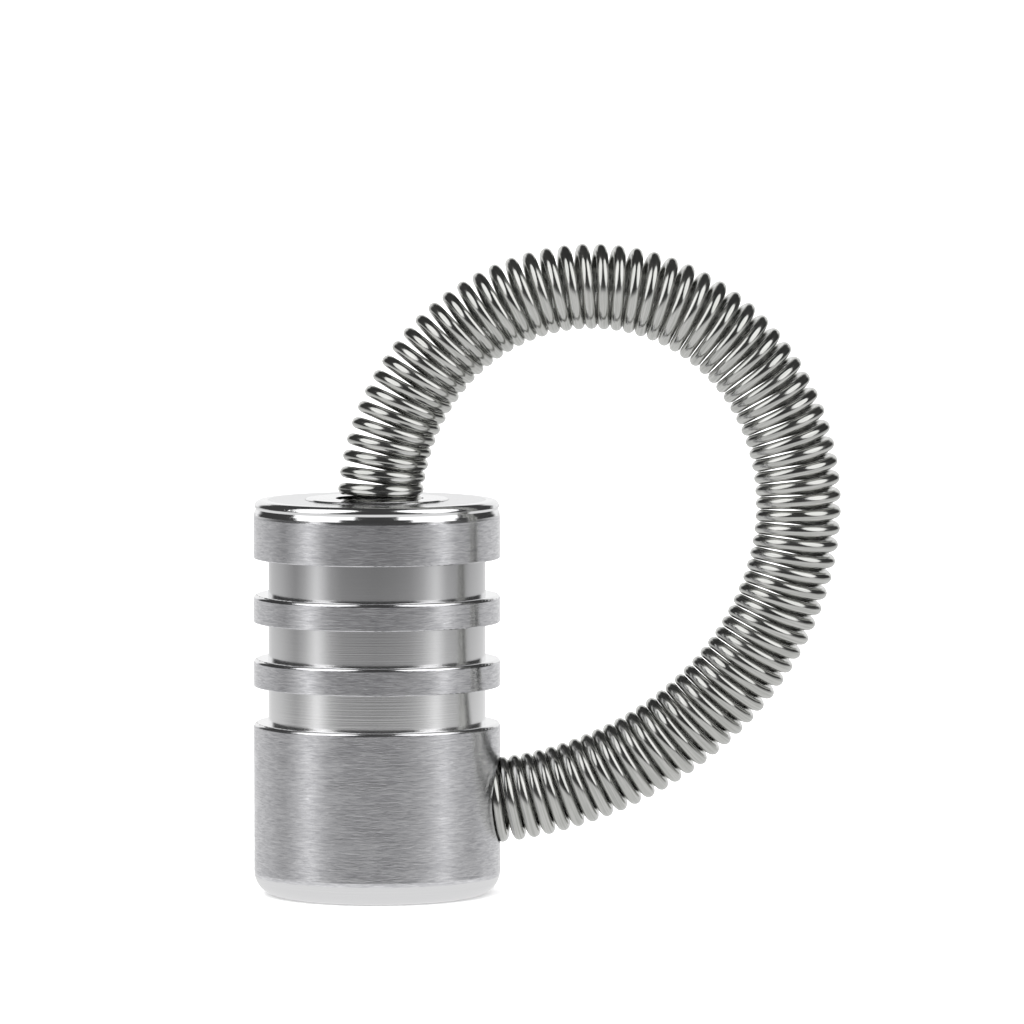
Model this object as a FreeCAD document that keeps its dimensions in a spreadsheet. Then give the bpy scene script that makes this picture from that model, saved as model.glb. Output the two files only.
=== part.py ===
import FreeCAD, Part
import math
import os
import Sketcher

# Hand grip strengthener: a turned metal cylinder with a loop of close-wound spring.
# Frame: +Z up along the cylinder, origin at the centre of its flat base,
# +X towards the loop, the loop lies in the X-Z plane.  Millimetres throughout.

os.makedirs("parts", exist_ok=True)
doc = FreeCAD.newDocument("grip")
V = FreeCAD.Vector
UP = V(0, 0, 1)

SIZES = {
    # turned body
    "body_dia": 36.0,
    "body_height": 57.7,
    "foot_round": 3.4,
    "top_land": 8.5,
    "groove_width": 5.3,
    "groove_depth": 2.15,
    "land_width": 4.05,
    "groove_count": 3,
    "land_top_round": 0.55,
    "land_bottom_round": 0.15,
    # bead round the rim, with a shallow neck and a three-step bevel below it
    "bead_inset": 0.12,
    "bead_height": 0.95,
    "bead_round": 0.9,
    "neck_inset": 0.3,
    "neck_drop": 1.3,
    "shoulder_inset": 0.1,
    "shoulder_drop": 1.75,
    "bevel_foot_inset": 0.03,
    "bevel_foot_drop": 2.1,
    "bevel_drop": 2.5,
    # top plug, screwed into the body; the spring's seat in it is off centre, at line_start_x
    "plug_dia": 20.8,
    "plug_height": 10.0,
    "plug_proud": 0.2,
    "plug_floor": 2.5,
    "plug_edge": 0.15,
    "plug_bore_dia": 12.8,
    "fit_gap": 0.05,
    # side bore that takes the other end of the spring
    "side_bore_dia": 13.0,
    "side_bore_height": 13.64,
    "side_bore_bottom": 3.0,
    # spigots inside the end turns
    "spigot_dia": 7.75,
    "spigot_flange_dia": 12.2,
    "spigot_length": 5.7,
    "upper_flange": 0.6,
    "lower_flange": 6.0,
    "lower_spigot_length": 7.5,
    # cap screw that holds the upper spigot
    "screw_dia": 4.0,
    "screw_head_dia": 7.0,
    "screw_head_height": 4.0,
    "screw_length": 7.0,
    "screw_socket": 3.0,
    "tapping_spare": 0.5,
    "head_chamber_dia": 9.0,
    "head_chamber_depth": 5.0,
    # set screw that holds the lower spigot
    "set_screw_dia": 5.0,
    "set_screw_length": 6.0,
    "set_screw_depth": 1.2,
    "set_screw_x": 6.0,
    "set_screw_socket": 2.5,
    "dog_point_dia": 3.2,
    "dog_point_length": 1.0,
    "dog_point_step": 0.4,
    # spring: wire, turns and the bent line they follow
    "wire_dia": 1.79,
    "turn_radius": 5.36,
    "turn_pitch": 1.825,
    "cut_gap": 0.12,
    "line_start_x": 0.4,
    "line_start_z": 51.98,
    "line_clamp_z": 55.4,
    "clamp_curve": 0.0261,
    "curve_per_rise": 0.0002218,
    "curve_per_reach": 0.000026,
    "mouth_x": 19.88,
    "mouth_curve": 0.0325,
    "line_end_x": 9.9,
    "top_end_turns": 4,
}

# turns in each stretch of the loop, from the top plug round to the side bore
STRETCH_TURNS = (1, 1, 1, 2, 2, 3, 5, 6, 6, 6, 5, 3, 2, 2, 2, 2, 2, 3, 5, 6, 7)

sheet = doc.addObject("Spreadsheet::Sheet", "sizes")
for row, (alias, value) in enumerate(SIZES.items(), start=1):
    sheet.set("A%d" % row, alias)
    sheet.set("B%d" % row, str(value))
    sheet.setAlias("B%d" % row, alias)
doc.recompute()


def size(alias):
    return float(getattr(sheet, alias))


# ---------------------------------------------------------------- helpers

def new_body(name):
    body = doc.addObject("PartDesign::Body", name)
    body.Label = name
    return body


def new_sketch(body, name, role, lift="0 mm"):
    sketch = body.newObject("Sketcher::SketchObject", name)
    plane = [f for f in body.Origin.OriginFeatures if f.Role == role][0]
    sketch.AttachmentSupport = [(plane, "")]
    sketch.MapMode = "FlatFace"
    sketch.setExpression("AttachmentOffset.Base.z", lift)
    return sketch


def add_circle(sketch, radius, across="0 mm", up="0 mm"):
    """Circle whose radius and centre follow the sheet."""
    at = sketch.addGeometry(Part.Circle(V(1, 1, 0), UP, 1.0))
    bind(sketch, Sketcher.Constraint("Radius", at, 1.0), radius)
    bind(sketch, Sketcher.Constraint("DistanceX", -1, 1, at, 3, 1.0), across)
    bind(sketch, Sketcher.Constraint("DistanceY", -1, 1, at, 3, 1.0), up)


def bind(sketch, constraint, expression):
    index = sketch.addConstraint(constraint)
    sketch.setExpression("Constraints[%d]" % index, expression)


def add_box(sketch, left, bottom, width, height):
    """Rectangle with its lower left corner and both sides following the sheet."""
    corners = [V(1, 1, 0), V(2, 1, 0), V(2, 2, 0), V(1, 2, 0)]
    lines = [sketch.addGeometry(Part.LineSegment(corners[i], corners[(i + 1) % 4])) for i in range(4)]
    for i in range(4):
        sketch.addConstraint(Sketcher.Constraint("Coincident", lines[i], 2, lines[(i + 1) % 4], 1))
    for line in (lines[0], lines[2]):
        sketch.addConstraint(Sketcher.Constraint("Horizontal", line))
    for line in (lines[1], lines[3]):
        sketch.addConstraint(Sketcher.Constraint("Vertical", line))
    bind(sketch, Sketcher.Constraint("DistanceX", -1, 1, lines[0], 1, 1.0), left)
    bind(sketch, Sketcher.Constraint("DistanceY", -1, 1, lines[0], 1, 1.0), bottom)
    bind(sketch, Sketcher.Constraint("DistanceX", lines[0], 1, lines[0], 2, 1.0), width)
    bind(sketch, Sketcher.Constraint("DistanceY", lines[1], 1, lines[1], 2, 1.0), height)


def add_outline(sketch, corners):
    """Closed outline of straight lines; each corner's place across and up follows the sheet."""
    count = len(corners)
    rough = [V(1 + math.cos(2 * math.pi * i / count), 1 + math.sin(2 * math.pi * i / count), 0)
             for i in range(count)]
    lines = [sketch.addGeometry(Part.LineSegment(rough[i], rough[(i + 1) % count])) for i in range(count)]
    for i, (across, up) in enumerate(corners):
        sketch.addConstraint(Sketcher.Constraint("Coincident", lines[i - 1], 2, lines[i], 1))
        bind(sketch, Sketcher.Constraint("DistanceX", -1, 1, lines[i], 1, 1.0), across)
        bind(sketch, Sketcher.Constraint("DistanceY", -1, 1, lines[i], 1, 1.0), up)


def add_groove(body, name, sketch):
    """Full turn of the sketch about the body's axis, cut away."""
    groove = body.newObject("PartDesign::Groove", name)
    groove.Profile = sketch
    groove.ReferenceAxis = (sketch, ["V_Axis"])
    groove.Angle = 360
    doc.recompute()
    return groove


def add_pad(body, name, sketch, length):
    pad = body.newObject("PartDesign::Pad", name)
    pad.Profile = sketch
    pad.setExpression("Length", length)
    doc.recompute()
    return pad


def add_pocket(body, name, sketch, length, outward=False):
    pocket = body.newObject("PartDesign::Pocket", name)
    pocket.Profile = sketch
    pocket.Reversed = outward
    pocket.setExpression("Length", length)
    doc.recompute()
    return pocket


def ring_edges(shape, radius, heights):
    """Names of the round edges of one radius at the given heights."""
    names = []
    for number, edge in enumerate(shape.Edges, start=1):
        curve = edge.Curve
        if not isinstance(curve, Part.Circle) or abs(curve.Radius - radius) > 0.01:
            continue
        if any(abs(curve.Center.z - height) < 0.01 for height in heights):
            names.append("Edge%d" % number)
    return names


def dress(body, kind, name, edges, expression):
    base = body.Tip
    feature = body.newObject("PartDesign::" + kind, name)
    feature.Base = (base, edges)
    feature.setExpression("Radius" if kind == "Fillet" else "Size", expression)
    doc.recompute()
    return feature


def cylinder(name, radius, height, x="0 mm", z="0 mm", sideways=False):
    """Plain cylinder, upright or lying along +X, placed by sheet expressions."""
    solid = doc.addObject("Part::Cylinder", name)
    solid.setExpression("Radius", radius)
    solid.setExpression("Height", height)
    if sideways:
        solid.Placement.Rotation = FreeCAD.Rotation(V(0, 1, 0), 90)
    solid.setExpression("Placement.Base.x", x)
    solid.setExpression("Placement.Base.z", z)
    return solid


def hexagon(name, across_flats, height, x, z):
    socket = doc.addObject("Part::Prism", name)
    socket.Polygon = 6
    socket.setExpression("Circumradius", across_flats + " / 2 / cos(30 deg)")
    socket.setExpression("Height", height)
    socket.setExpression("Placement.Base.x", x)
    socket.setExpression("Placement.Base.z", z)
    return socket


def joined(name, solids):
    fuse = doc.addObject("Part::MultiFuse", name)
    fuse.Shapes = solids
    return fuse


def cut(name, base, tool):
    result = doc.addObject("Part::Cut", name)
    result.Base = base
    result.Tool = tool
    result.Label = name
    return result


# ---------------------------------------------------------------- turned body and plug

def make_grip_body():
    body = new_body("grip_body")
    disc = new_sketch(body, "body_disc", "XY_Plane")
    add_circle(disc, "sizes.body_dia / 2")
    add_pad(body, "body_blank", disc, "sizes.body_height")

    ring = new_sketch(body, "groove_outline", "XZ_Plane")
    add_box(ring, "sizes.body_dia / 2 - sizes.groove_depth",
            "sizes.body_height - sizes.top_land - sizes.groove_width",
            "2 * sizes.groove_depth", "sizes.groove_width")
    groove = add_groove(body, "grip_groove", ring)

    repeat = body.newObject("PartDesign::LinearPattern", "grip_grooves")
    repeat.Originals = [groove]
    repeat.Direction = (disc, ["N_Axis"])
    repeat.Reversed = True
    repeat.setExpression("Length", "(sizes.groove_count - 1) * (sizes.groove_width + sizes.land_width)")
    repeat.setExpression("Occurrences", "sizes.groove_count")
    body.Tip = repeat
    doc.recompute()

    neck = new_sketch(body, "neck_outline", "XZ_Plane")
    add_outline(neck, [
        ("sizes.body_dia / 2 - sizes.bead_inset", "sizes.body_height + sizes.bevel_drop"),
        ("sizes.body_dia / 2 - sizes.bead_inset", "sizes.body_height - sizes.bead_height"),
        ("sizes.body_dia / 2 - sizes.neck_inset", "sizes.body_height - sizes.neck_drop"),
        ("sizes.body_dia / 2 - sizes.shoulder_inset", "sizes.body_height - sizes.shoulder_drop"),
        ("sizes.body_dia / 2 - sizes.bevel_foot_inset", "sizes.body_height - sizes.bevel_foot_drop"),
        ("sizes.body_dia / 2 + sizes.bevel_foot_inset",
         "sizes.body_height + sizes.bevel_foot_drop - 2 * sizes.bevel_drop"),
        ("sizes.body_dia / 2 + sizes.bevel_foot_inset", "sizes.body_height + sizes.bevel_drop")])
    add_groove(body, "rim_neck", neck)

    pitch = size("groove_width") + size("land_width")
    groove_tops = [size("body_height") - size("top_land") - number * pitch
                   for number in range(int(size("groove_count")))]
    groove_feet = [top - size("groove_width") for top in groove_tops]
    radius = size("body_dia") / 2
    bead_radius = radius - size("bead_inset")
    for name, ring_radius, heights, rounding in (
            ("land_top_edges", radius, groove_feet, "sizes.land_top_round"),
            ("land_bottom_edges", radius, groove_tops, "sizes.land_bottom_round"),
            ("bead_edge", bead_radius, [size("body_height")], "sizes.bead_round"),
            ("foot", radius, [0.0], "sizes.foot_round")):
        dress(body, "Fillet", name, ring_edges(body.Tip.Shape, ring_radius, heights), rounding)

    plug_hole = new_sketch(body, "plug_hole_outline", "XY_Plane", "sizes.body_height")
    add_circle(plug_hole, "sizes.plug_dia / 2 + sizes.fit_gap")
    add_pocket(body, "plug_hole", plug_hole, "sizes.plug_height - sizes.plug_proud")

    chamber = new_sketch(body, "head_chamber_outline", "XY_Plane",
                         "sizes.body_height + sizes.plug_proud - sizes.plug_height")
    add_circle(chamber, "sizes.head_chamber_dia / 2", across="sizes.line_start_x")
    add_pocket(body, "head_chamber", chamber, "sizes.head_chamber_depth")

    side = new_sketch(body, "side_bore_outline", "YZ_Plane", "sizes.side_bore_bottom")
    add_circle(side, "sizes.side_bore_dia / 2", up="sizes.side_bore_height")
    add_pocket(body, "side_bore", side, "sizes.body_dia / 2", outward=True)

    below = new_sketch(body, "set_screw_outline", "XY_Plane")
    add_circle(below, "sizes.set_screw_dia / 2 + sizes.fit_gap", across="sizes.set_screw_x")
    add_pocket(body, "set_screw_hole", below, "sizes.side_bore_height", outward=True)
    return body


def make_top_plug():
    body = new_body("top_plug")
    disc = new_sketch(body, "plug_disc", "XY_Plane",
                      "sizes.body_height + sizes.plug_proud - sizes.plug_height")
    add_circle(disc, "sizes.plug_dia / 2")
    add_pad(body, "plug_blank", disc, "sizes.plug_height")

    top = "sizes.body_height + sizes.plug_proud"
    seat = new_sketch(body, "spring_seat_outline", "XY_Plane", top)
    add_circle(seat, "sizes.plug_bore_dia / 2", across="sizes.line_start_x")
    add_pocket(body, "spring_seat", seat, "sizes.plug_height - sizes.plug_floor")

    hole = new_sketch(body, "plug_screw_outline", "XY_Plane", top)
    add_circle(hole, "sizes.screw_dia / 2 + sizes.fit_gap", across="sizes.line_start_x")
    add_pocket(body, "plug_screw_hole", hole, "sizes.plug_height")

    height = size("body_height") + size("plug_proud")
    shape = body.Tip.Shape
    dress(body, "Chamfer", "plug_outer_edge", ring_edges(shape, size("plug_dia") / 2, [height]),
          "sizes.plug_edge")
    return body


# ---------------------------------------------------------------- anchors and their screws

def make_upper_anchor():
    seat = "sizes.body_height + sizes.plug_proud - sizes.plug_height + sizes.plug_floor"
    flange = cylinder("upper_flange", "sizes.spigot_flange_dia / 2", "sizes.upper_flange",
                      x="sizes.line_start_x", z=seat)
    spigot = cylinder("upper_spigot", "sizes.spigot_dia / 2",
                      "sizes.upper_flange + sizes.spigot_length", x="sizes.line_start_x", z=seat)
    hole = cylinder("upper_tapping", "sizes.screw_dia / 2",
                    "sizes.screw_length - sizes.plug_floor + sizes.tapping_spare",
                    x="sizes.line_start_x", z=seat)
    return cut("upper_spring_anchor", joined("upper_anchor_blank", [flange, spigot]), hole)


def make_anchor_screw():
    under = "sizes.body_height + sizes.plug_proud - sizes.plug_height"
    head = cylinder("screw_head", "sizes.screw_head_dia / 2", "sizes.screw_head_height",
                    x="sizes.line_start_x", z=under + " - sizes.screw_head_height")
    shank = cylinder("screw_shank", "sizes.screw_dia / 2 - sizes.fit_gap", "sizes.screw_length",
                     x="sizes.line_start_x", z=under)
    socket = hexagon("screw_socket_hex", "sizes.screw_socket", "sizes.screw_head_height / 2",
                     "sizes.line_start_x", under + " - sizes.screw_head_height")
    return cut("anchor_cap_screw", joined("cap_screw_blank", [head, shank]), socket)


def make_lower_anchor():
    foot = "sizes.side_bore_bottom + sizes.fit_gap"
    flange = cylinder("lower_flange", "sizes.spigot_flange_dia / 2", "sizes.lower_flange",
                      x=foot, z="sizes.side_bore_height", sideways=True)
    spigot = cylinder("lower_spigot", "sizes.spigot_dia / 2",
                      "sizes.lower_flange + sizes.lower_spigot_length",
                      x=foot, z="sizes.side_bore_height", sideways=True)
    dimple = cylinder("dog_point_hole", "sizes.dog_point_dia / 2 + sizes.fit_gap",
                      "sizes.dog_point_length * 2", x="sizes.set_screw_x",
                      z="sizes.set_screw_depth + sizes.set_screw_length - sizes.fit_gap")
    return cut("lower_spring_anchor", joined("lower_anchor_blank", [flange, spigot]), dimple)


def make_set_screw():
    thread = cylinder("set_screw_thread", "sizes.set_screw_dia / 2",
                      "sizes.set_screw_length - sizes.dog_point_step",
                      x="sizes.set_screw_x", z="sizes.set_screw_depth")
    point = cylinder("dog_point", "sizes.dog_point_dia / 2",
                     "sizes.set_screw_length + sizes.dog_point_length",
                     x="sizes.set_screw_x", z="sizes.set_screw_depth")
    socket = hexagon("set_screw_hex", "sizes.set_screw_socket", "sizes.set_screw_length / 2",
                     "sizes.set_screw_x", "sizes.set_screw_depth")
    return cut("anchor_set_screw", joined("set_screw_blank", [thread, point]), socket)


# ---------------------------------------------------------------- spring

LINE_STEP = 0.05


def curve_at(x, z, heading):
    """Curvature of the spring's line: straight in the plug, bent as a clamped springy rod, and
    straightened again at the mouth of the side bore."""
    if heading > 0 and x < size("turn_radius") and z < size("line_clamp_z"):
        return 0.0
    if z < size("body_height") / 2 and x < size("mouth_x"):
        return size("mouth_curve") if heading > -math.pi else 0.0
    rise = z - size("line_clamp_z")
    reach = x - size("line_start_x")
    return size("clamp_curve") + size("curve_per_rise") * rise + size("curve_per_reach") * reach


def spring_line():
    """Points (x, z, heading, curvature) of the line through the middle of the turns."""
    x = size("line_start_x")
    z = size("line_start_z")
    heading = math.pi / 2
    points = []
    while heading > 0 or x > size("line_end_x"):
        curve = curve_at(x, z, heading)
        points.append((x, z, heading, curve))
        half = heading - curve * LINE_STEP / 2
        x += LINE_STEP * math.cos(half)
        z += LINE_STEP * math.sin(half)
        heading -= curve * LINE_STEP
    return points


def turn_points():
    """Wire centres where each turn crosses the loop's plane: (inner points, outer points)."""
    line = spring_line()
    radius = size("turn_radius")
    inner, outer = [], []
    along = 0.0
    while along < LINE_STEP * (len(line) - 1):
        place = along / LINE_STEP
        first = int(place)
        share = place - first
        x, z, heading, curve = [a + share * (b - a) for a, b in zip(line[first], line[first + 1])]
        side = radius if len(inner) == len(outer) else -radius
        point = V(x + side * math.sin(heading), 0, z - side * math.cos(heading))
        (inner if side > 0 else outer).append(point)
        along += size("turn_pitch") / (1 - radius * curve) / 2
    return inner, outer


def half_turn(start, end, front, trim_start, trim_end):
    """Half a turn as an arc standing on the line from start to end; it leaves and arrives along Y."""
    centre = (start + end) / 2
    arm = start - centre
    across = V(0, -arm.Length if front else arm.Length, 0)
    angles = (trim_start, math.pi / 2, math.pi - trim_end)
    return Part.Arc(*[centre + arm * math.cos(a) + across * math.sin(a) for a in angles]).toShape()


def make_stretch(name, inner, outer, first, last, trim_first=True, trim_last=True):
    """Wire from inner point first to inner point last, cut back a little where the loop hinges."""
    trim = size("cut_gap") / 2 / size("turn_radius")
    edges = []
    for turn in range(first, last):
        edges.append(half_turn(inner[turn], outer[turn], False,
                               trim if trim_first and turn == first else 0.0, 0.0))
        edges.append(half_turn(outer[turn], inner[turn + 1], True, 0.0,
                               trim if trim_last and turn == last - 1 else 0.0))
    path = Part.Wire(edges)
    begin = edges[0].valueAt(edges[0].FirstParameter)
    tangent = edges[0].tangentAt(edges[0].FirstParameter)
    section = Part.Wire(Part.Circle(begin, tangent, size("wire_dia") / 2).toShape())
    solid = path.makePipeShell([section], True, False)
    stretch = doc.addObject("Part::Feature", name)
    stretch.Label = name
    stretch.Shape = solid
    return stretch


def make_spring():
    inner, outer = turn_points()
    at = int(size("top_end_turns"))
    pieces = [make_stretch("loop_spring_top_end", inner, outer, 0, at, trim_first=False)]
    for number, turns in enumerate(STRETCH_TURNS, start=1):
        pieces.append(make_stretch("loop_spring_turns_%02d" % number, inner, outer, at, at + turns))
        at += turns
    last = len(inner) - 1
    pieces.append(make_stretch("loop_spring_side_end", inner, outer, at, last, trim_last=False))
    return pieces


# ---------------------------------------------------------------- build, check and write

nodes = [make_grip_body(), make_top_plug(), make_upper_anchor(), make_anchor_screw(),
         make_lower_anchor(), make_set_screw()] + make_spring()
doc.recompute()

for item in doc.Objects:
    if "Invalid" in item.State or "Error" in item.State:
        raise RuntimeError("%s did not build: %s" % (item.Name, item.State))
for node in nodes:
    if node.Shape.isNull() or not node.Shape.isValid() or len(node.Shape.Solids) < 1:
        raise RuntimeError("%s has no valid solid" % node.Label)
    node.Shape.exportStep("parts/%s.step" % node.Label)
    print(node.Label, round(node.Shape.Volume, 1), "mm3")
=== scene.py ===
import math

import bpy
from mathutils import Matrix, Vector


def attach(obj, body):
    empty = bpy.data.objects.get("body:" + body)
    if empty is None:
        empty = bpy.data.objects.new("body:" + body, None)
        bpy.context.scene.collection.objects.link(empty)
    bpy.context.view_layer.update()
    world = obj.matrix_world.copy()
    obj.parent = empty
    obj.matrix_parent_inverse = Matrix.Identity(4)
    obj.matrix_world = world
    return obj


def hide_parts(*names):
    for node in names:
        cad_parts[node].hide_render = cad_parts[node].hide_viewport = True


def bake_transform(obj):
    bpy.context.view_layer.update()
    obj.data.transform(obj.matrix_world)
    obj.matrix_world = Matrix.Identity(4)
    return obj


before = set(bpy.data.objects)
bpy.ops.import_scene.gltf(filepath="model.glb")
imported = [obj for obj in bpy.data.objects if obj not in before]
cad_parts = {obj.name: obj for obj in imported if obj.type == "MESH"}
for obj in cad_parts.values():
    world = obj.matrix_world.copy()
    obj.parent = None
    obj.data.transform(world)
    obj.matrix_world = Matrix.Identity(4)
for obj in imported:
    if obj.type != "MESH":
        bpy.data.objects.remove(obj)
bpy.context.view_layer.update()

MM = 0.001

# ---------------------------------------------------------------- sizes, the same as in part.py

BODY_RADIUS = 18.0 * MM
BODY_HEIGHT = 57.7 * MM
BEVEL_FOOT_DROP = 2.1 * MM
BEVEL_DROP = 2.5 * MM
FOOT_ROUND = 3.4 * MM
TOP_LAND = 8.5 * MM
GROOVE_WIDTH = 5.3 * MM
GROOVE_DEPTH = 2.15 * MM
LAND_WIDTH = 4.05 * MM
GROOVE_COUNT = 3
SKIRT_TOP = BODY_HEIGHT - TOP_LAND - GROOVE_COUNT * GROOVE_WIDTH - (GROOVE_COUNT - 1) * LAND_WIDTH

WIRE_RADIUS = 0.895 * MM
DRAWN_RADIUS = WIRE_RADIUS - 0.003 * MM    # the drawn wire stays just inside the solid one
TURN_RADIUS = 5.36 * MM
TURN_PITCH = 1.825 * MM
LINE_STEP = 0.05 * MM
LINE_START_X = 0.4 * MM
LINE_START_Z = 51.98 * MM
LINE_CLAMP_Z = 55.4 * MM
CLAMP_CURVE = 0.0261 / MM
CURVE_PER_RISE = 0.0002218 / MM / MM
CURVE_PER_REACH = 0.000026 / MM / MM
MOUTH_X = 19.88 * MM
MOUTH_CURVE = 0.0325 / MM
LINE_END_X = 9.9 * MM
TOP_END_TURNS = 4
STRETCH_TURNS = (1, 1, 1, 2, 2, 3, 5, 6, 6, 6, 5, 3, 2, 2, 2, 2, 2, 3, 5, 6, 7)

# how finely the wire is drawn, and where on a turn its pieces meet
POINTS_PER_TURN = 64
WIRE_SIDES = 18
BACK_OF_TURN = 0.25
BEFORE_LAST = 1.001              # keeps a place just short of the end of a list of points

# ---------------------------------------------------------------- the spring's line

def curve_at(x, z, heading):
    """Curvature of the line through the middle of the turns."""
    if heading > 0 and x < TURN_RADIUS and z < LINE_CLAMP_Z:
        return 0.0
    if z < BODY_HEIGHT / 2 and x < MOUTH_X:
        return MOUTH_CURVE if heading > -math.pi else 0.0
    return CLAMP_CURVE + CURVE_PER_RISE * (z - LINE_CLAMP_Z) + CURVE_PER_REACH * (x - LINE_START_X)


def spring_line():
    """Points (x, z, heading, curvature) every LINE_STEP along the line."""
    x, z, heading = LINE_START_X, LINE_START_Z, math.pi / 2
    points = []
    while heading > 0 or x > LINE_END_X:
        curve = curve_at(x, z, heading)
        points.append((x, z, heading, curve))
        half = heading - curve * LINE_STEP / 2
        x += LINE_STEP * math.cos(half)
        z += LINE_STEP * math.sin(half)
        heading -= curve * LINE_STEP
    return points


def half_turn_places(line):
    """Distance along the line of each half turn."""
    places, along = [], 0.0
    while along < LINE_STEP * (len(line) - 1):
        places.append(along)
        curve = line[int(along / LINE_STEP)][3]
        along += TURN_PITCH / (1 - TURN_RADIUS * curve) / 2
    return places


LINE = spring_line()
PLACES = half_turn_places(LINE)


def centre_at(turn):
    """Point on the line and its heading where the wire has made that many turns."""
    half = min(turn * 2, len(PLACES) - BEFORE_LAST)
    first = int(half)
    along = PLACES[first] + (half - first) * (PLACES[first + 1] - PLACES[first])
    step = min(along / LINE_STEP, len(LINE) - BEFORE_LAST)
    at = int(step)
    share = step - at
    x, z, heading, _ = [a + share * (b - a) for a, b in zip(LINE[at], LINE[at + 1])]
    return Vector((x, 0, z)), heading


def wire_at(turn):
    """Centre of the wire there, and the direction from the middle of the turn out to it."""
    centre, heading = centre_at(turn)
    inward = Vector((math.sin(heading), 0, -math.cos(heading)))
    angle = 2 * math.pi * turn
    arm = inward * math.cos(angle) + Vector((0, math.sin(angle), 0))
    return centre + arm * TURN_RADIUS, arm


# ---------------------------------------------------------------- the spring's wire

SIDE_ANGLES = [2 * math.pi * side / WIRE_SIDES for side in range(WIRE_SIDES)]


def ring_at(turn):
    """Points round the wire, square to it."""
    nudge = 0.25 / POINTS_PER_TURN
    centre, arm = wire_at(turn)
    tangent = (wire_at(turn + nudge)[0] - wire_at(turn - nudge)[0]).normalized()
    outward = (arm - tangent * arm.dot(tangent)).normalized()
    sideways = tangent.cross(outward)
    return [centre + (outward * math.cos(angle) + sideways * math.sin(angle)) * DRAWN_RADIUS
            for angle in SIDE_ANGLES]


def wire_faces(rows):
    """Faces between the rings, then the two flat ends."""
    faces = []
    for low in range(0, (rows - 1) * WIRE_SIDES, WIRE_SIDES):
        high = low + WIRE_SIDES
        for side in range(WIRE_SIDES):
            after = (side + 1) % WIRE_SIDES
            faces.append((low + side, low + after, high + after, high + side))
    faces.append(tuple(reversed(range(WIRE_SIDES))))
    faces.append(tuple(range((rows - 1) * WIRE_SIDES, rows * WIRE_SIDES)))
    return faces


def sharpen_ends(mesh, ends):
    """Sharp edges round the wire's two flat ends."""
    sharp = mesh.attributes.new("sharp_edge", "BOOLEAN", "EDGE")
    for edge in mesh.edges:
        a, b = edge.vertices
        if a in ends and b in ends and abs(a - b) < WIRE_SIDES:
            sharp.data[edge.index].value = True


def add_straight_coordinate(mesh, turns):
    """A coordinate that runs along the wire as if it were straight, for the material."""
    straight = mesh.attributes.new("straight", "FLOAT_VECTOR", "POINT")
    length_per_turn = 2 * math.pi * TURN_RADIUS
    for row, turn in enumerate(turns):
        for side, angle in enumerate(SIDE_ANGLES):
            straight.data[row * WIRE_SIDES + side].vector = (
                WIRE_RADIUS * math.cos(angle), WIRE_RADIUS * math.sin(angle), length_per_turn * turn)


def make_wire(name, first, last):
    """One closed length of the wire, from one turn to another."""
    count = max(2, round((last - first) * POINTS_PER_TURN))
    turns = [first + (last - first) * i / count for i in range(count + 1)]
    points = [tuple(point) for turn in turns for point in ring_at(turn)]
    faces = wire_faces(len(turns))

    mesh = bpy.data.meshes.new(name)
    mesh.from_pydata(points, [], faces)
    mesh.polygons.foreach_set("use_smooth", [True] * (len(faces) - 2) + [False, False])
    sharpen_ends(mesh, set(faces[-2]) | set(faces[-1]))
    add_straight_coordinate(mesh, turns)
    mesh.validate()
    piece = bpy.data.objects.new(name, mesh)
    bpy.context.scene.collection.objects.link(piece)
    return piece


def hinge_turns():
    """The turn at which each stretch of the loop starts, and the one where the side end starts."""
    turns = [TOP_END_TURNS]
    for count in STRETCH_TURNS:
        turns.append(turns[-1] + count)
    return turns


def make_spring(material):
    """The wire in lengths that meet at the back of a turn, each reaching across one hinge."""
    hinges = hinge_turns()
    cuts = [hinges[0] - 1 + BACK_OF_TURN]
    cuts += [(hinges[i] + hinges[i + 1]) // 2 + BACK_OF_TURN for i in range(len(STRETCH_TURNS))]
    pieces = []

    top = make_wire("spring_wire_top", 0, cuts[0])
    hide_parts("loop_spring_top_end")
    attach(top, "grip")
    pieces.append(top)

    before = "grip"
    for number in range(1, len(STRETCH_TURNS) + 1):
        body = "turns_%02d" % number
        piece = make_wire("spring_wire_%02d" % number, cuts[number - 1], cuts[number])
        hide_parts("loop_spring_turns_%02d" % number)
        start, end = centre_at(cuts[number - 1])[0], centre_at(cuts[number])[0]
        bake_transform(piece)
        pieces.append(piece)
        before = body

    side = make_wire("spring_wire_side", cuts[-1], hinges[-1])
    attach(side, before)
    pieces.append(side)

    end = make_wire("spring_wire_end", hinges[-1], (len(PLACES) - 1) // 2)
    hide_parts("loop_spring_side_end")
    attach(end, "grip")
    pieces.append(end)

    for piece in pieces:
        piece.data.materials.append(material)


# ---------------------------------------------------------------- material helpers

def new_material(name):
    """A material with its node tree and its Principled shader."""
    material = bpy.data.materials.new(name)
    material.use_nodes = True
    tree = material.node_tree
    shader = tree.nodes["Principled BSDF"]
    return material, tree, shader


def set_input(tree, socket, value):
    """Link the socket to another node's output, or set its value."""
    if isinstance(value, bpy.types.NodeSocket):
        tree.links.new(value, socket)
    else:
        socket.default_value = value


def math_node(tree, operation, a, b=0.0):
    node = tree.nodes.new("ShaderNodeMath")
    node.operation = operation
    set_input(tree, node.inputs[0], a)
    set_input(tree, node.inputs[1], b)
    return node.outputs[0]


def times(tree, a, b):
    return math_node(tree, "MULTIPLY", a, b)


def plus(tree, a, b):
    return math_node(tree, "ADD", a, b)


def centred(tree, value):
    """A value from 0 to 1, moved to lie about zero."""
    return math_node(tree, "SUBTRACT", value, 0.5)


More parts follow.
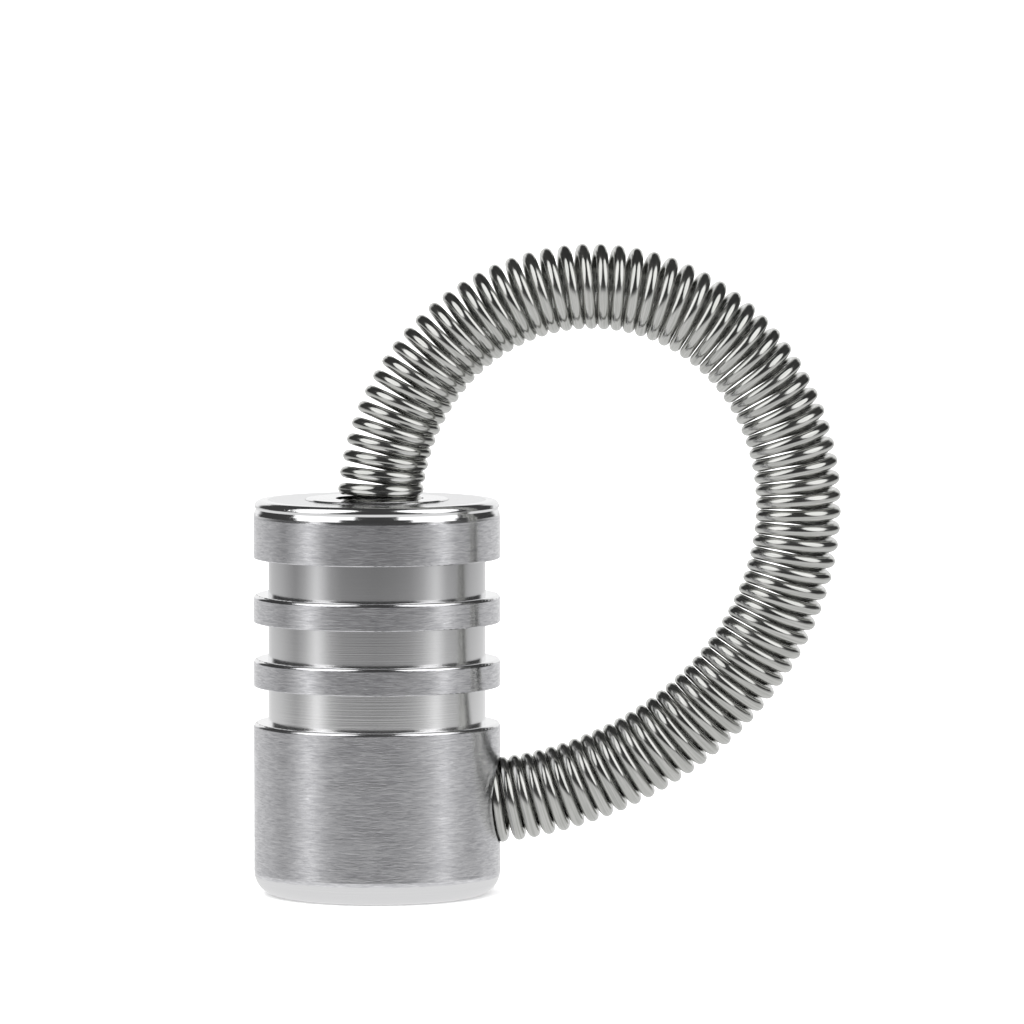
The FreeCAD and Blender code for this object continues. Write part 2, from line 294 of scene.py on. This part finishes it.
def ramp(tree, value, low, high, to_low=0.0, to_high=1.0, smooth=True):
    """value from low to high, mapped to to_low to to_high and held outside."""
    node = tree.nodes.new("ShaderNodeMapRange")
    node.interpolation_type = "SMOOTHSTEP" if smooth else "LINEAR"
    for name, number in (("Value", value), ("From Min", low), ("From Max", high),
                         ("To Min", to_low), ("To Max", to_high)):
        set_input(tree, node.inputs[name], number)
    return node.outputs["Result"]


def mix(tree, factor, a, b):
    node = tree.nodes.new("ShaderNodeMix")
    node.data_type = "FLOAT"
    set_input(tree, node.inputs[0], factor)
    set_input(tree, node.inputs[2], a)
    set_input(tree, node.inputs[3], b)
    return node.outputs[0]


def mix_colour(tree, factor, a, b):
    node = tree.nodes.new("ShaderNodeMix")
    node.data_type = "RGBA"
    set_input(tree, node.inputs[0], factor)
    set_input(tree, node.inputs[6], a)
    set_input(tree, node.inputs[7], b)
    return node.outputs[2]


def noise(tree, coordinate, scale, detail=3, distortion=0.0):
    """Noise whose grain has its own size along each axis: scale is grains per metre."""
    stretch = tree.nodes.new("ShaderNodeMapping")
    stretch.inputs["Scale"].default_value = scale
    tree.links.new(coordinate, stretch.inputs["Vector"])
    node = tree.nodes.new("ShaderNodeTexNoise")
    node.inputs["Scale"].default_value = 1.0
    node.inputs["Detail"].default_value = detail
    node.inputs["Roughness"].default_value = 0.55
    node.inputs["Distortion"].default_value = distortion
    tree.links.new(stretch.outputs["Vector"], node.inputs["Vector"])
    return node.outputs["Fac"]


def bump(tree, shader, height, distance):
    node = tree.nodes.new("ShaderNodeBump")
    node.inputs["Strength"].default_value = 1.0
    node.inputs["Distance"].default_value = distance
    tree.links.new(height, node.inputs["Height"])
    tree.links.new(node.outputs["Normal"], shader.inputs["Normal"])


def place_on_object(tree):
    """The point on the piece, with its height and its distance from the piece's axis."""
    coordinate = tree.nodes.new("ShaderNodeTexCoord").outputs["Object"]
    split = tree.nodes.new("ShaderNodeSeparateXYZ")
    tree.links.new(coordinate, split.inputs[0])
    x, y, z = split.outputs
    radius = math_node(tree, "SQRT", plus(tree, times(tree, x, x), times(tree, y, y)))
    return coordinate, radius, z


# ---------------------------------------------------------------- materials

# each pair is the darker and the paler colour of a finish, except the grooves' pair, whose paler colour
# is painted light
SMOOTH_ALUMINIUM = (0.80, 0.80, 0.81, 1), (0.88, 0.88, 0.885, 1)
BRUSHED_ALUMINIUM = (0.60, 0.60, 0.625, 1), (0.93, 0.93, 0.95, 1)
# the upper grooves' own aluminium, and a paler colour for the lowest groove that is a painted reflection
# of the table
GROOVE_ALUMINIUM_AND_PAINTED_LIGHT = (0.68, 0.68, 0.69, 1), (0.96, 0.96, 0.965, 1)
WIRE_STEEL = (0.50, 0.505, 0.485, 1), (0.64, 0.64, 0.62, 1)
ANCHOR_STEEL = (0.42, 0.42, 0.43, 1), (0.58, 0.58, 0.59, 1)
SCREW_STEEL = (0.10, 0.10, 0.105, 1), (0.2, 0.2, 0.21, 1)

# roughness of each finish, even or from its smoother to its rougher patches
POLISHED_ROUGH = 0.12
GROOVE_ROUGH = 0.17
LAND_ROUGH = 0.13, 0.2
SKIRT_ROUGH = 0.17, 0.27
PLUG_ROUGH = 0.06, 0.12
WIRE_ROUGH = 0.13, 0.22
ANCHOR_ROUGH = 0.24, 0.36
SCREW_ROUGH = 0.32, 0.44

# depth of the surface marks, in millimetres
LAND_BRUSHING = 0.009
SKIRT_BRUSHING = 0.014
POLISHED_MARKS = 0.0015
UPPER_GROOVE_MARKS = 0.0005
LOWER_GROOVE_MARKS = 0.010
PLUG_MARKS = 0.0006
WIRE_MARKS = 0.002
STEEL_MARKS = 0.004

PATCHY = 0.3, 0.7                # the middle part of a noise, stretched over its whole range


def body_zones(tree, coordinate, radius, z):
    """Four masks on the turned body: brushed, in a groove, on the skirt, and how far down it is
    from the top groove to the bottom one."""
    wobble = noise(tree, coordinate, (300, 300, 300), detail=2)
    height = plus(tree, z, times(tree, centred(tree, wobble), 1.6 * MM))
    on_wall = ramp(tree, radius, BODY_RADIUS - 0.08 * MM, BODY_RADIUS - 0.04 * MM)
    above_foot = ramp(tree, height, FOOT_ROUND - 0.95 * MM, FOOT_ROUND - 0.75 * MM)
    below_rim = ramp(tree, z, BODY_HEIGHT - BEVEL_FOOT_DROP, BODY_HEIGHT - BEVEL_DROP)
    brushed = times(tree, on_wall, times(tree, above_foot, below_rim))
    groove_radius = BODY_RADIUS - GROOVE_DEPTH
    in_groove = ramp(tree, radius, groove_radius + 0.1 * MM, groove_radius + 0.05 * MM)
    on_skirt = ramp(tree, z, SKIRT_TOP + 0.5 * MM, SKIRT_TOP - 0.5 * MM)
    # 0 at the top groove, 1 at the lowest: it paints a reflection of the table on the lower grooves, and
    #                                       deepens their marks
    lower_groove = ramp(tree, z, BODY_HEIGHT - TOP_LAND, SKIRT_TOP, smooth=False)
    return brushed, in_groove, on_skirt, lower_groove


def turned_aluminium():
    """Turned aluminium: brushed walls, smoother grooves that are painted paler towards the bottom as a
    painted reflection of the table, polished rim and foot, bright top face.
    """
    material, tree, shader = new_material("turned_aluminium")
    coordinate, radius, z = place_on_object(tree)
    brushed, in_groove, on_skirt, lower_groove = body_zones(tree, coordinate, radius, z)

    streaks = noise(tree, coordinate, (480, 480, 3800), detail=2, distortion=0.7)
    scratches = noise(tree, coordinate, (1100, 1100, 9000), detail=2)
    lathe = noise(tree, coordinate, (25, 25, 7500))
    patches = noise(tree, coordinate, (220, 220, 420), detail=2)
    grain = plus(tree, times(tree, streaks, 0.75), times(tree, scratches, 0.25))

    light = mix_colour(tree, ramp(tree, grain, 0.32, 0.68, smooth=False), *BRUSHED_ALUMINIUM)
    # the grooves are painted paler towards the lowest one, a painted reflection of the table
    plain = mix_colour(tree, in_groove, mix_colour(tree, lathe, *SMOOTH_ALUMINIUM),
                       mix_colour(tree, lower_groove, *GROOVE_ALUMINIUM_AND_PAINTED_LIGHT))
    set_input(tree, shader.inputs["Base Color"], mix_colour(tree, brushed, plain, light))

    brushed_rough = mix(tree, on_skirt, ramp(tree, patches, *PATCHY, *LAND_ROUGH),
                        ramp(tree, patches, *PATCHY, *SKIRT_ROUGH))
    plain_rough = mix(tree, in_groove, POLISHED_ROUGH, GROOVE_ROUGH)
    set_input(tree, shader.inputs["Roughness"], mix(tree, brushed, plain_rough, brushed_rough))
    shader.inputs["Metallic"].default_value = 1.0

    brush_depth = times(tree, brushed, mix(tree, on_skirt, LAND_BRUSHING, SKIRT_BRUSHING))
    groove_depth = mix(tree, lower_groove, UPPER_GROOVE_MARKS, LOWER_GROOVE_MARKS)
    lathe_depth = mix(tree, in_groove, POLISHED_MARKS, groove_depth)
    relief = plus(tree, times(tree, centred(tree, grain), brush_depth),
                  times(tree, centred(tree, lathe), lathe_depth))
    bump(tree, shader, relief, 1 * MM)
    return material


def plug_aluminium():
    """The plug's bright faced end, with the lathe's rings round its own axis."""
    material, tree, shader = new_material("plug_aluminium")
    coordinate, radius, _ = place_on_object(tree)
    rings = tree.nodes.new("ShaderNodeTexNoise")
    rings.noise_dimensions = "1D"
    rings.inputs["Scale"].default_value = 5000.0
    tree.links.new(radius, rings.inputs["W"])
    smudge = noise(tree, coordinate, (260, 260, 260))
    set_input(tree, shader.inputs["Base Color"],
              mix_colour(tree, rings.outputs["Fac"], *SMOOTH_ALUMINIUM))
    set_input(tree, shader.inputs["Roughness"], ramp(tree, smudge, *PATCHY, *PLUG_ROUGH))
    shader.inputs["Metallic"].default_value = 1.0
    bump(tree, shader, rings.outputs["Fac"], PLUG_MARKS * MM)
    return material


def spring_steel():
    """Drawn and polished steel wire, with faint die lines along it."""
    material, tree, shader = new_material("spring_steel")
    along = tree.nodes.new("ShaderNodeAttribute")
    along.attribute_name = "straight"
    coordinate = along.outputs["Vector"]
    lines = noise(tree, coordinate, (5200, 5200, 60))
    spots = noise(tree, coordinate, (700, 700, 220))
    shade = plus(tree, times(tree, lines, 0.6), times(tree, spots, 0.4))
    set_input(tree, shader.inputs["Base Color"],
              mix_colour(tree, ramp(tree, shade, 0.35, 0.65), *WIRE_STEEL))
    set_input(tree, shader.inputs["Roughness"], ramp(tree, spots, *PATCHY, *WIRE_ROUGH))
    shader.inputs["Metallic"].default_value = 1.0
    bump(tree, shader, lines, WIRE_MARKS * MM)
    return material


def machined_steel(name, colours, roughness):
    """Plain turned steel for the anchors and screws inside."""
    material, tree, shader = new_material(name)
    coordinate, _, _ = place_on_object(tree)
    marks = noise(tree, coordinate, (900, 900, 3000))
    set_input(tree, shader.inputs["Base Color"], mix_colour(tree, marks, *colours))
    set_input(tree, shader.inputs["Roughness"], ramp(tree, marks, *PATCHY, *roughness))
    shader.inputs["Metallic"].default_value = 1.0
    bump(tree, shader, marks, STEEL_MARKS * MM)
    return material


def give_material(node, material):
    """Put the material on a node that comes from the CAD."""
    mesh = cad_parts[node].data
    if mesh.materials:
        for number in range(len(mesh.materials)):
            mesh.materials[number] = material
    else:
        mesh.materials.append(material)


give_material("grip_body", turned_aluminium())
give_material("top_plug", plug_aluminium())
anchor_steel = machined_steel("anchor_steel", ANCHOR_STEEL, ANCHOR_ROUGH)
screw_steel = machined_steel("screw_steel", SCREW_STEEL, SCREW_ROUGH)
for node in ("upper_spring_anchor", "lower_spring_anchor"):
    give_material(node, anchor_steel)
for node in ("anchor_cap_screw", "anchor_set_screw"):
    give_material(node, screw_steel)
make_spring(spring_steel())

# ---------------------------------------------------------------- studio

# brightness of the table just below the horizon, by compass angle: 0 is towards the camera,
# positive angles are towards +X
TABLE = ((-180, 0.95), (-150, 0.65), (-120, 0.5), (-95, 0.28), (-82, 0.45), (-66, 0.92), (-50, 0.36),
         (-36, 0.22), (0, 0.17), (20, 0.2), (36, 0.26), (50, 0.42), (67, 0.85), (80, 0.46), (104, 0.33),
         (118, 0.52), (150, 0.68), (180, 0.95))
STEEP_TABLE = 0.80
BACKDROP = 0.97
DARK_ROOM = 0.05
PLAIN_WHITE = 2.1                # what the camera and the floor's own colour get from all round

# where the room changes: heights are the upward part of a direction, angles are compass degrees
TABLE_STEEPENS = -0.07, -0.25
HORIZON = -0.015, 0.015
BACKDROP_SIDE = 140, 152
BACKDROP_TOP = 0.52, 0.42

# the two softboxes: compass angle and height angle in degrees, the rest in metres
SOFTBOX_ANGLES = {"softbox_left": -60, "softbox_right": 59}
SOFTBOX_HEIGHT_ANGLE = 36
SOFTBOX_DISTANCE = 1.2
SOFTBOX_WIDTH = 1.25
SOFTBOX_HEIGHT = 1.6
SOFTBOX_BRIGHTNESS = 1.4
LIT_POINT = Vector((0.02, 0, 0.06))

FLOOR_HALF = 12.0

CAMERA_AIM = Vector((19.7 * MM, 0, 55.86 * MM))
CAMERA_DISTANCE = 1.27
CAMERA_PITCH = math.radians(4.2)
CAMERA_LENS = 306.3


def grey(value):
    return value, value, value, 1


def compass(tree, x, y):
    """Compass angle of a direction, from 0 to 1, with 0.5 towards the camera."""
    angle = math_node(tree, "ARCTAN2", x, times(tree, y, -1.0))
    return plus(tree, math_node(tree, "DIVIDE", angle, 2 * math.pi), 0.5)


def table_light(tree, angle):
    """Brightness of the table all round, from the stops in TABLE."""
    table = tree.nodes.new("ShaderNodeValToRGB")
    tree.links.new(angle, table.inputs["Fac"])
    stops = table.color_ramp.elements
    while len(stops) < len(TABLE):
        stops.new(0.5)
    for stop, (degrees, value) in zip(stops, TABLE):
        stop.position = degrees / 360 + 0.5
        stop.color = grey(value)
    return table.outputs["Color"]


def make_world():
    """White to the camera and to the floor. Reflections see a dark room, with a white backdrop
    behind the object and a pale table under it."""
    world = bpy.data.worlds.new("studio")
    world.use_nodes = True
    bpy.context.scene.world = world
    tree = world.node_tree
    split = tree.nodes.new("ShaderNodeSeparateXYZ")
    tree.links.new(tree.nodes.new("ShaderNodeTexCoord").outputs["Generated"], split.inputs[0])
    x, y, z = split.outputs

    angle = compass(tree, x, y)
    below = mix_colour(tree, ramp(tree, z, *TABLE_STEEPENS), table_light(tree, angle), grey(STEEP_TABLE))

    from_front = math_node(tree, "ABSOLUTE", centred(tree, angle))
    side, far_side = [degrees / 360 for degrees in BACKDROP_SIDE]
    backdrop = times(tree, ramp(tree, from_front, side, far_side), ramp(tree, z, *BACKDROP_TOP))
    above = mix_colour(tree, backdrop, grey(DARK_ROOM), grey(BACKDROP))
    seen = mix_colour(tree, ramp(tree, z, *HORIZON), below, above)

    rays = tree.nodes.new("ShaderNodeLightPath")
    plain = math_node(tree, "MAXIMUM", rays.outputs["Is Camera Ray"], rays.outputs["Is Diffuse Ray"])
    colour = mix_colour(tree, plain, seen, grey(PLAIN_WHITE))
    set_input(tree, tree.nodes["Background"].inputs["Color"], colour)


def make_softbox(name, angle):
    """An oval light that faces the object, at a compass angle from the camera's side."""
    light = bpy.data.lights.new(name, "AREA")
    light.shape = "ELLIPSE"
    light.size = SOFTBOX_WIDTH
    light.size_y = SOFTBOX_HEIGHT
    light.energy = SOFTBOX_BRIGHTNESS * math.pi * (math.pi / 4 * SOFTBOX_WIDTH * SOFTBOX_HEIGHT)
    lamp = bpy.data.objects.new(name, light)
    turn, lift = math.radians(angle), math.radians(SOFTBOX_HEIGHT_ANGLE)
    out = Vector((math.sin(turn) * math.cos(lift), -math.cos(turn) * math.cos(lift), math.sin(lift)))
    lamp.location = LIT_POINT + out * SOFTBOX_DISTANCE
    lamp.rotation_euler = out.to_track_quat("Z", "Y").to_euler()
    bpy.context.scene.collection.objects.link(lamp)


def make_floor():
    """A plain pale floor. Reflections don't see it, only the table in the world's light."""
    mesh = bpy.data.meshes.new("floor")
    corners = ((-1, -1), (1, -1), (1, 1), (-1, 1))
    mesh.from_pydata([(x * FLOOR_HALF, y * FLOOR_HALF, 0) for x, y in corners], [], [(0, 1, 2, 3)])
    floor = bpy.data.objects.new("floor", mesh)
    bpy.context.scene.collection.objects.link(floor)
    material, _, shader = new_material("floor")
    shader.inputs["Base Color"].default_value = (0.95, 0.95, 0.95, 1)
    shader.inputs["Roughness"].default_value = 0.9
    shader.inputs["Specular IOR Level"].default_value = 0.0
    mesh.materials.append(material)
    floor.visible_glossy = False


def make_camera():
    """A long lens a little above the object, looking slightly down at it."""
    camera = bpy.data.cameras.new("camera")
    camera.sensor_width = 36.0
    camera.lens = CAMERA_LENS
    camera.clip_end = 50.0
    eye = bpy.data.objects.new("camera", camera)
    back_and_up = Vector((0, -math.cos(CAMERA_PITCH), math.sin(CAMERA_PITCH)))
    eye.location = CAMERA_AIM + back_and_up * CAMERA_DISTANCE
    eye.rotation_euler = (math.pi / 2 - CAMERA_PITCH, 0, 0)
    bpy.context.scene.collection.objects.link(eye)
    bpy.context.scene.camera = eye


make_world()
make_floor()
for name, angle in SOFTBOX_ANGLES.items():
    make_softbox(name, angle)
make_camera()
bpy.context.scene.view_settings.view_transform = "Standard"
